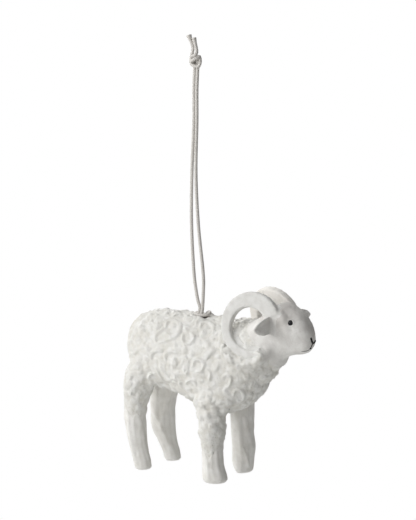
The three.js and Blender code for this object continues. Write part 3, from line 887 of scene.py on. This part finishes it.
def makeClumpTree(numbers, spec):  # pulp pressed on in dabs, some with a raised rim and a hollow middle
    tree, given, out = newGeometryTree("pulpClumps", numbers)
    place = addNode(tree, "GeometryNodeInputPosition").outputs[0]

    def perMetre(label):
        return maths("DIVIDE", 1 / mm, given[label])

    def hill(distance, top, width):  # 1 at the top, falling off with the square of the distance from it
        away = maths("DIVIDE", minus(distance, top), width)
        return maths("MAXIMUM", minus(1.0, times(away, away)), spec["lowest"])

    swirl = scaled(swirlOf(place, perMetre("Swirl Size")), times(given["Swirl"], 2 * mm))
    bent = vectorMaths("ADD", place, swirl)
    large = cellsOf(bent, perMetre("Large Size"))
    pick = addNode(tree, "FunctionNodeSeparateColor", {0: large["Color"]}).outputs[0]
    dab = addNode(tree, "ShaderNodeMix", {
        "Factor": maths("GREATER_THAN", pick, spec["ringShare"]),
        2: hill(large["Distance"], 0.0, spec["width"]),
        3: hill(large["Distance"], spec["ringTop"], spec["ringWidth"])}, data_type="FLOAT").outputs[0]
    grain = hill(cellsOf(bent, perMetre("Small Size"))["Distance"], 0.0, spec["width"])
    fine = minus(noiseOf(place, perMetre("Fine Size"), 4.0, Roughness=0.6), 0.5)
    rise = plus(times(dab, given["Large"]), times(grain, given["Small"]))
    rise = plus(rise, times(fine, times(given["Fine"], 2.0)))
    return endWithRise(tree, given, out, rise)


def makeCrumpleTree(numbers, spec):  # creased paper: folds that turn round the piece's middle, and a grain
    tree, given, out = newGeometryTree("paperCrumple", numbers)
    place = addNode(tree, "GeometryNodeInputPosition").outputs[0]
    height = addNode(tree, "ShaderNodeSeparateXYZ", {0: place}).outputs["Z"]
    turned = addNode(tree, "ShaderNodeVectorRotate", {
        "Vector": place, "Center": given["Middle"], "Angle": times(height, given["Twist"]),
    }, rotation_type="Z_AXIS").outputs[0]
    drawn = addNode(tree, "ShaderNodeCombineXYZ", {"X": 1.0, "Y": 1.0, "Z": given["Lengthwise"]}).outputs[0]
    stretched = vectorMaths("MULTIPLY", turned, drawn)

    def layer(size, detail, extra):
        waves = addNode(tree, "ShaderNodeTexNoise", {
            "Vector": stretched, "W": plus(given["Seed"], extra), "Detail": detail,
            "Roughness": spec["rough"], "Distortion": spec["bend"],
            "Scale": maths("DIVIDE", given[size], mm)}, noise_dimensions="4D")
        return minus(waves.outputs[0], 0.5)

    folds = maths("ABSOLUTE", layer("Deep Size", 2.0, 0.0))
    deep = times(minus(folds, spec["mean"]), times(given["Deep"], spec["gain"]))
    fine = times(layer("Fine Size", 3.0, spec["fineSeed"]), times(given["Fine"], 2.0))
    return endWithRise(tree, given, out, plus(deep, fine))


curlTree = makeCurlTree(coatSpec["curls"], strewSpec)
clumpTree = makeClumpTree(coatSpec["clumps"], dabSpec)
crumpleTree = makeCrumpleTree({"Deep": 0.4, "Deep Size": 0.2, "Fine": 0.2, "Fine Size": 0.6, "Seed": 0.0,
                               "Lengthwise": 1.0, "Twist": 0.0, "Middle": (0.0, 0.0, 0.0)}, foldSpec)


def woolShare(q, spec=coatSpec):  # 1 on the fleece, 0 on the smooth face and legs
    wobble = noise.noise(q / spec["wobbleSize"])
    edge = q.x + q.z - spec["neckEdge"] + wobble * spec["wobble"]
    throat = spec["throatShift"] * smoothStep(*spec["throat"], -q.z)
    edge += throat - spec["neckTopShift"] * smoothStep(*spec["neckTop"], q.z)
    neck = 1 - smoothStep(-spec["neckFade"], spec["neckFade"] * spec["neckFadeAhead"], edge)
    end = "front" if q.x > spec["legFrontX"] else "hind"
    line = spec["woolLine"][end, "right" if q.y < 0 else "left"]
    leg = smoothStep(-spec["legFade"], spec["legFade"], q.z - soleBelow - line + wobble * spec["legWobble"])
    return neck * leg


def diveUnder(obj, depth, shares):  # sinks what the fleece covers
    shiftAlongNormals(obj, [depth * smoothStep(*coatSpec["skinShare"], share) for share in shares])


def markCreaseShade(obj, below, low, high):  # painted shade in the creases, by the height of each point over the surface below
    tree = treeOf(below)
    creases = []
    for vert in obj.data.vertices:
        spot, normal, _, _ = tree.find_nearest(vert.co)
        creases.append(1 - smoothStep(low, high, (vert.co - spot).dot(normal) / mm))
    storeFloat(obj, "creaseShade", creases)


def fromMouth(q, spec):  # distance from the hitch's mouth, measured flat
    return math.hypot(max(abs(q.x) - spec["mouthHalf"], 0), q.y) if q.z > spec["mouthDepth"] else math.inf


def calmness(q, spec):  # less work on the rump and legs
    calm = 1 - (1 - spec["calmShare"]) * smoothStep(*spec["calmRump"], -q.x)
    return calm * (1 - (1 - spec["legCalm"]) * smoothStep(*spec["calmLegs"], -q.z))


def coatRise(q, hornTree, spec):  # where the coat's own surface lies over the plain form
    share = woolShare(q)
    sunk = spec["sunk"] * calmness(q, spec) ** 2
    rise = spec["dive"] + (sunk - spec["dive"]) * smoothStep(*spec["diveShare"], share)
    if q.x > spec["legFrontX"]:
        up = q.z - soleBelow
        swell = spec["legSwell"] * smoothStep(*spec["swellFoot"], up)
        rise += swell * (1 - smoothStep(*spec["swellTop"], up)) * share
    away = fromMouth(q, spec)
    if away > spec["mouthClear"]:
        lip = spec["lipHeight"] * smoothStep(*spec["lipSide"], -q.y)
        lip *= 1 - smoothStep(*spec["lipEnd"], abs(q.x))
        rise += lip * (1 - smoothStep(spec["mouthClear"] + spec["mouthFade"], spec["lipReach"], away))
    away = math.hypot(q.x - spec["hornCentre"][0], q.z - spec["hornCentre"][1]) - spec["rampRadius"]
    if away > 0 and q.z < spec["rampBelow"]:
        gap = hornTree.find_nearest(toFrame(q))[3] / mm
        ramp = spec["rampLift"] * (1 - smoothStep(0, spec["rampReach"], gap))
        rise += ramp * smoothStep(0, spec["rampFade"], away) * share
    return rise


def reliefShare(q, spec):  # how strongly the fleece is worked, not at all in the mouth
    clear = smoothStep(spec["mouthClear"], spec["mouthClear"] + spec["mouthFade"], fromMouth(q, spec))
    return woolShare(q) * clear * calmness(q, spec)


def layOver(tree, points, step, lift):  # a route over a surface, lifted or sunk along its normals
    route = []
    for point in routeOf(points, step):
        spot, normal, _, _ = tree.find_nearest(toFrame(point))
        route.append(spot + normal * (lift * mm))
    return route


strokeSides = 10
strokeTip = 0.25  # share of the width that is left at a stroke's ends


def sweepStroke(name, route, half):  # a strand that thins towards both ends
    sides, points = strokeSides, []
    rings = len(route)
    for i, point in enumerate(route):
        ahead = (route[min(i + 1, rings - 1)] - route[max(i - 1, 0)]).normalized()
        if abs(ahead.z) < 0.99:
            normal = Vector((0, 0, 1)).cross(ahead).normalized()
        else:
            normal = ahead.orthogonal().normalized()
        across = ahead.cross(normal)
        taper = math.sqrt(max(0, 1 - (2 * i / (rings - 1) - 1) ** 4))
        radius = half * (strokeTip + (1 - strokeTip) * taper)
        for angle in circle(sides):
            points.append(point + (normal * math.cos(angle) + across * math.sin(angle)) * radius * mm)
    caps = [tuple(reversed(range(sides))), tuple(range((rings - 1) * sides, rings * sides))]
    return meshFrom(name, points, ringFaces(rings, sides) + caps)


def besideCurls(routes, coat, spec):  # 0 on the listed curls, 1 away from them
    points = [point for route in routes for point in route]
    tree = KDTree(len(points))
    for index, point in enumerate(points):
        tree.insert(point, index)
    tree.balance()
    return [smoothStep(*spec["handBeside"], tree.find(spot)[2] / mm) for spot in positions(coat)]


def makeCoat(spec):
    coat = copyObject("wool_coat", ramForm)
    cutNeck(coat, spec["neckCut"], 1)
    cutAway(coat, Vector((0, 0, soleHeight + spec["legCut"] * mm)), Vector((0, 0, -1)))
    horns = copyNodes("horns", ["horn_right", "horn_left"])
    hornTree = treeOf(horns)
    discard(horns)
    soft = [smoothStep(*spec["easeLegs"], q.z) * smoothStep(*spec["easeMouth"], fromMouth(q, spec))
            * (1 - smoothStep(*spec["easeNeck"], q.x + q.z)) for q in spotsOf(coat)]
    easeWhere(coat, soft, spec["baseEasing"])
    spots = spotsOf(coat)
    shiftAlongNormals(coat, [coatRise(q, hornTree, spec) for q in spots])
    under = copyObject("coat_under", coat)
    underTree = treeOf(under)
    routes = [layOver(underTree, [(x, sign * y, z) for x, y, z in curl], spec["handStep"], spec["handLift"])
              for sign in (1, -1) for curl in handCurls]
    beside = besideCurls(routes, coat, spec)
    storeFloat(coat, "wool", [reliefShare(q, spec) ** 2 * clear for q, clear in zip(spots, beside)])
    runTree(coat, curlTree, {**spec["curls"], "Pulp": pulp["fleece"]})
    absorb(coat, *[sweepStroke("curl", route, spec["handHalf"]) for route in routes])
    fuse(coat, spec["voxel"], spec["easing"])
    worked = [spec["handWork"] + (1 - spec["handWork"]) * clear for clear in besideCurls(routes, coat, spec)]
    storeFloat(coat, "wool", [reliefShare(q, spec) * share for q, share in zip(spotsOf(coat), worked)])
    runTree(coat, clumpTree, {**spec["clumps"], "Pulp": pulp["fleece"]})
    ease(coat, spec["lastEasing"])
    bakeDown(coat)
    # painted shade in the fleece's creases
    markCreaseShade(coat, under, *spec["creaseShade"])
    discard(under)
    finishPiece(coat, pulp["fleece"], "fleece_paper", "body_shell_right", "body_shell_left", "tail")
    print(f"fleece: {len(coat.data.polygons)} faces")


makeCoat(coatSpec)


# legs

# ridges run between two places (degrees round the leg from +X, millimetres above the sole)
# and then have a height and a width
legSpec = {
    # the crease pair: heights over the plain leg between which the painted shade in the creases fades out
    "voxel": 0.4, "easing": 5, "dive": -2.0, "soleFade": 2.5, "underWool": 9.0, "creaseShade": (-0.25, 0.15),
    "fold": {"Deep": 0.34, "Deep Size": 0.17, "Fine": 0.07, "Fine Size": 0.7, "Lengthwise": 0.2},
    "slice": 2.0, "ridgeRadius": 2.0, "bare": (0.25, 0.7), "flatSole": 1.5, "footTop": 9.0,
    "toeAhead": (-1, 5), "heelBehind": (0, 5), "soleEdge": (2.5, 6), "swellUp": (9, 22), "bendTop": 24.0,
    "kneeUp": 12.0, "kneeReach": 4.5, "calfUp": 15.0, "calfReach": 6.0, "outwards": (-1, 4),
    "plain": {"knee": 0.0, "calf": 0.0, "bend": 0.0},
    "front_right": {"seed": 21.0, "twist": 12.0, "toe": 1.8, "heel": 0.3, "swell": 0.15, "round": 0.9,
                    "ridges": [(-81, 17, -84, 2, 0.4, 1.0), (-30, 14, -20, 3, 0.3, 0.9)]},
    "front_left": {"seed": 34.0, "twist": 45.0, "toe": -0.9, "heel": 4.0, "swell": 0.2, "round": 0.3,
                   "knee": 1.1, "ridges": [(-75, 30, -62, 10, 0.4, 1.0), (-40, 26, -5, 12, 0.45, 0.9),
                                           (-50, 12, -18, 3, 0.5, 0.8)]},
    "hind_right": {"seed": 47.0, "twist": -10.0, "toe": 0.3, "heel": 0.8, "swell": 0.35, "round": 0.4,
                   "bend": -0.8, "ridges": [(-88, 23, -99, 3, 0.55, 1.1), (-20, 22, 5, 3, 0.35, 0.9)]},
    "hind_left": {"seed": 63.0, "twist": 55.0, "toe": 0.6, "heel": 3.2, "swell": 0.8, "round": 0.3,
                  "calf": 1.5, "ridges": [(-110, 28, -40, 6, 0.55, 1.0), (-20, 34, -75, 14, 0.5, 0.9),
                                          (-85, 38, -80, 20, 0.4, 0.9)]},
}


def axisOf(obj, step):  # middle of the leg at each height, from its own slices
    slices = {}
    for vert in obj.data.vertices:
        slices.setdefault(int((vert.co.z - soleHeight) / mm / step), []).append(fromBar(vert.co))
    middles = {}
    for level, spots in slices.items():
        xs, ys = [q.x for q in spots], [q.y for q in spots]
        middles[level] = ((min(xs) + max(xs)) / 2, (min(ys) + max(ys)) / 2)
    return lambda up: middles[min(max(int(up / step), 0), max(middles))]


def ridgeRise(turn, up, radius, ridge):
    turnA, upA, turnB, upB, height, width = ridge
    across = Vector((math.radians(turnB - turnA) * radius, upB - upA))
    here = Vector((math.radians((turn - turnA + 180) % 360 - 180) * radius, up - upA))
    along = min(1, max(0, here.dot(across) / across.length_squared))
    return height * bulge((here - across * along).length, width)


def shapeLeg(leg, spec, look, shares):
    middle = axisOf(leg, spec["slice"])
    rises = []
    for vert, share in zip(leg.data.vertices, shares):
        q = fromBar(vert.co)
        up = (vert.co.z - soleHeight) / mm
        x, y = middle(up)
        radius = max(math.hypot(q.x - x, q.y - y), 0.1)
        turn = math.degrees(math.atan2(q.y - y, q.x - x))
        rise = sum(ridgeRise(turn, up, radius, ridge) for ridge in look["ridges"])
        rise *= smoothStep(0, spec["ridgeRadius"], radius)
        rise += look["swell"] * smoothStep(*spec["swellUp"], up)
        knee = look["knee"] * bulge(up - spec["kneeUp"], spec["kneeReach"])
        calf = look["calf"] * bulge(up - spec["calfUp"], spec["calfReach"])
        rise += knee * smoothStep(*spec["outwards"], q.x - x) + calf * smoothStep(*spec["outwards"], x - q.x)
        rises.append(rise * smoothStep(0, spec["flatSole"], up) * (1 - smoothStep(*spec["bare"], share)))
        low = 1 - smoothStep(0, spec["footTop"], up)
        vert.co.x += look["toe"] * low * smoothStep(*spec["toeAhead"], q.x - x) * mm
        vert.co.x += look["bend"] * (1 - smoothStep(0, spec["bendTop"], up)) * mm
        vert.co.z += look["heel"] * low * smoothStep(*spec["heelBehind"], x - q.x) * mm
        vert.co.z += look["round"] * low * smoothStep(*spec["soleEdge"], radius) * mm
    leg.data.update()
    shiftAlongNormals(leg, rises)


def makeLeg(place, spec):
    look = {**spec["plain"], **spec[place]}
    leg = copyNodes("leg_skin_" + place, ["leg_" + place, "leg_wire_" + place])
    fuse(leg, spec["voxel"], spec["easing"])
    top = coatSpec["woolLine"][tuple(place.split("_"))] + spec["underWool"]
    cutAway(leg, Vector((0, 0, soleHeight + top * mm)), Vector((0, 0, 1)))
    shares = [woolShare(q) for q in spotsOf(leg)]
    shapeLeg(leg, spec, look, shares)
    diveUnder(leg, spec["dive"], shares)
    under = copyObject("leg_under", leg)
    heights = [(spot.z - soleHeight) / mm for spot in positions(leg)]
    storeFloat(leg, "wool", [smoothStep(0, spec["soleFade"], height) for height in heights])
    low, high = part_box("leg_" + place)
    runTree(leg, crumpleTree, {**spec["fold"], "Seed": look["seed"], "Twist": look["twist"],
                               "Middle": (low + high) / 2, "Pulp": pulp["leg"]})
    # painted shade in the leg's creases
    markCreaseShade(leg, under, *spec["creaseShade"])
    discard(under)
    finishPiece(leg, pulp["leg"], "leg_paper", "leg_" + place)
    return leg


legSkins = [makeLeg(place, legSpec) for place in ("front_right", "front_left", "hind_right", "hind_left")]
print(f"legs: {sum(len(leg.data.polygons) for leg in legSkins)} faces")


# head, horns and ears

# dabs of the head: place on the right side, reach and height, repeated on the left
headSpec = {
    "backCut": 20.0, "voxel": 0.6, "easing": 12, "dive": -1.3,
    "grain": {"Deep": 0.12, "Deep Size": 0.24, "Fine": 0.1, "Fine Size": 0.6, "Seed": 9.0},
    "fills": {"both": [((46.0, 5.2, 4.6), (7.5, 3.0, 4.2)), ((41.8, 8.8, -10.6), (3.4, 2.8, 3.2))]},
    "dabs": [((53.6, -6.2, 3.6), 3.2, -0.3), ((50.5, -7.6, -5.5), 4.5, 0.35), ((60.8, -2.2, -5.6), 2.4, 0.35),
             ((57.2, -5.4, -5.0), 2.6, -0.3), ((59.6, 0, 3.2), 3.0, -0.25), ((58.5, -1.0, -9.6), 2.2, 0.25)],
    "brow": [(46.7, -5.4, 9.9), (48.7, -6.1, 7.8), (50.6, -6.7, 5.2), (51.9, -7.0, 2.5), (52.8, -7.0, 0.9)],
    "browStep": 0.5, "browLift": 0.5, "browReach": 1.5,
    "softSpot": (44.0, -9.2, -11.2), "softReach": 5.5, "softEasing": 60,
    # painted shade on the forehead: where it comes in from the neck and upwards, and how much of it fades
    # towards the nose
    "shadeNeck": (36, 47), "shadeUp": (-4, 5), "shadeNose": (50, 56), "shadeNoseCut": 0.7,
}
hornSpec = {
    "piece": "horn_curl_", "node": "horn_", "slot": "horn_card", "seed": 70.0, "voxel": 0.36, "easing": 5,
    "collar": {"reach": 2.4, "lift": 0.22, "sink": 0.12, "thick": 1.0},
    "grain": {"Deep": 0.12, "Deep Size": 0.3, "Fine": 0.12, "Fine Size": 0.8},
}
earSpec = {
    "piece": "ear_leaf_", "node": "ear_", "slot": "face_paper", "seed": 80.0, "voxel": 0.24, "easing": 7,
    "collar": {"reach": 4.0, "lift": 0.5, "sink": 0.1, "thick": 1.0},
    "grain": {"Deep": 0.06, "Deep Size": 0.35, "Fine": 0.05, "Fine Size": 0.8},
}


def mirrored(q):
    return Vector((q.x, -abs(q.y), q.z))


def foreheadShadeAt(q, spec):  # painted shade on the forehead, weaker towards the nose
    noseCut = spec["shadeNoseCut"] * smoothStep(*spec["shadeNose"], q.x)
    return smoothStep(*spec["shadeNeck"], q.x + q.z) * smoothStep(*spec["shadeUp"], q.z) * (1 - noseCut)


def makeHead(spec):
    head = copyObject("head_skin", ramForm)
    addFills(head, spec["fills"])
    fuse(head, spec["voxel"], 0)
    cutNeck(head, spec["backCut"], -1)
    ease(head, spec["easing"])
    bakeDown(head)
    gaps = [(mirrored(q) - Vector(spec["softSpot"])).length for q in spotsOf(head)]
    easeWhere(head, [bulge(gap, spec["softReach"]) for gap in gaps], spec["softEasing"])
    finer = head.modifiers.new("finer", "SUBSURF")
    finer.levels = finer.render_levels = 1
    bakeDown(head)
    brow = routeOf(spec["brow"], spec["browStep"])
    rises = []
    for q in map(mirrored, spotsOf(head)):
        rise = sum(height * bulge((q - Vector(place)).length, reach) for place, reach, height in spec["dabs"])
        near = min((q - spot).length for spot in brow)
        rises.append(rise + spec["browLift"] * bulge(near, spec["browReach"]))
    shiftAlongNormals(head, rises)
    plain = copyObject("head_plain", head)
    shares = [woolShare(q) for q in spotsOf(head)]
    diveUnder(head, spec["dive"], shares)
    storeFloat(head, "wool", [1 - share for share in shares])
    runTree(head, crumpleTree, {**spec["grain"], "Pulp": pulp["face"]})
    # painted shade on the forehead, for the face pulp's darker tone
    storeFloat(head, "foreheadShade", [foreheadShadeAt(q, spec) for q in spotsOf(head)])
    return head, plain


def addCollar(part, onto, spec):  # pulp smoothed from the part onto the surface that carries it
    partTree = treeOf(part)
    bm = openMesh(onto)
    reach = spec["reach"] * mm
    far = []
    for vert in bm.verts:
        gap = partTree.find_nearest(vert.co)[3]
        if gap > reach:
            far.append(vert)
            continue
        share = 1 - gap / reach
        vert.co += vert.normal * ((spec["lift"] + spec["sink"]) * share * share - spec["sink"]) * mm
    bmesh.ops.delete(bm, geom=far, context="VERTS")
    collar = closeNew(bm, "collar")
    wall = collar.modifiers.new("wall", "SOLIDIFY")
    wall.thickness = spec["thick"] * mm
    wall.offset = -1
    absorb(part, bakeDown(collar))


def makeTrim(side, spec, material, seed, onto):
    node = spec["node"] + side
    piece = copyNodes(spec["piece"] + side, [node])
    addCollar(piece, onto, spec["collar"])
    fuse(piece, spec["voxel"], spec["easing"])
    storeFloat(piece, "wool", [1.0] * len(piece.data.vertices))
    runTree(piece, crumpleTree, {**spec["grain"], "Seed": seed, "Pulp": material})
    finishPiece(piece, material, spec["slot"], node)


headSkin, headPlain = makeHead(headSpec)
for number, side in enumerate(("right", "left")):
    makeTrim(side, hornSpec, pulp[side + "Horn"], hornSpec["seed"] + number, headPlain)
    makeTrim(side, earSpec, pulp["face"], earSpec["seed"] + number, headPlain)
finishPiece(headSkin, pulp["face"], "face_paper", "head")
print(f"head: {len(headSkin.data.polygons)} faces, with horns and ears")


# eyes and painted nose

eyeSpec = {
    "radius": 1.42, "flatness": 0.8, "proud": 0.5, "segments": 32, "rings": 20,
    "rimRadius": 1.58, "rimThick": 0.22, "rimParts": 40, "rimSides": 8,
}
# strokes over the muzzle, each with its half width, sunk by a share of it
strokes = {
    "nose_line_right": {"points": [(61.3, -1.5, -2.5), (61.6, -1.0, -4.0), (61.5, -0.1, -5.5)], "half": 0.56},
    "nose_line_left": {"points": [(61.2, 2.3, -4.3), (61.5, 1.3, -5.0), (61.5, -0.1, -5.6)], "half": 0.5},
    "nose_stem": {"points": [(61.5, -0.1, -5.5), (61.2, -0.4, -6.7), (60.7, -0.5, -7.7)], "half": 0.38},
    "mouth_dot": {"points": [(60.8, -0.3, -7.4), (60.5, -0.6, -8.0)], "half": 0.76},
    "mouth_line": {"points": [(60.4, -0.7, -8.0), (59.2, -2.0, -8.5), (57.4, -3.1, -8.4)], "half": 0.24},
}
strokeStep = 0.12
strokeSunk = 0.3


def makeStroke(name, stroke, tree, material):
    route = layOver(tree, stroke["points"], strokeStep, -stroke["half"] * strokeSunk)
    finishPiece(sweepStroke(name, route, stroke["half"]), material, "eye_bead")


def makeEye(side, tree, spec):
    low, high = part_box("eye_" + side)
    spot, normal, _, _ = tree.find_nearest((low + high) / 2)
    turn = normal.to_track_quat("Z", "Y").to_matrix()
    centre = spot + normal * ((spec["proud"] - spec["radius"] * spec["flatness"]) * mm)
    place = Matrix.Translation(centre) @ turn.to_4x4() @ Matrix.Diagonal((1, 1, spec["flatness"], 1))
    bm = bmesh.new()
    bmesh.ops.create_uvsphere(bm, u_segments=spec["segments"], v_segments=spec["rings"],
                              radius=spec["radius"] * mm, matrix=place)
    finishPiece(closeNew(bm, "eye_bead_" + side), worn["beadGloss"], "eye_bead", "eye_" + side)
    points = []
    for around in circle(spec["rimParts"]):
        for angle in circle(spec["rimSides"]):
            reach = spec["rimRadius"] + spec["rimThick"] * math.cos(angle)
            rise = -spec["rimThick"] * math.sin(angle)
            local = Vector((math.cos(around) * reach, math.sin(around) * reach, rise))
            points.append(spot + turn @ local * mm)
    faces = ringFaces(spec["rimParts"], spec["rimSides"], closed=True)
    finishPiece(meshFrom("eye_rim_" + side, points, faces), pulp["face"], "face_paper")


faceTree = treeOf(headSkin)
for side in ("right", "left"):
    makeEye(side, faceTree, eyeSpec)
for name, stroke in strokes.items():
    makeStroke(name, stroke, faceTree, worn["mouthLine" if name == "mouth_line" else "facePaint"])
print(f"face: two eyes and {len(strokes)} painted strokes")


# wire eye and what stays hidden

for name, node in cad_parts.items():
    if "wire" in name or name == "hanger_eye":
        setMaterial(node, worn["ironWire"])
setMaterial(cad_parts["paper_core"], pulp["leg"])

discard(ramForm)
discard(headPlain)
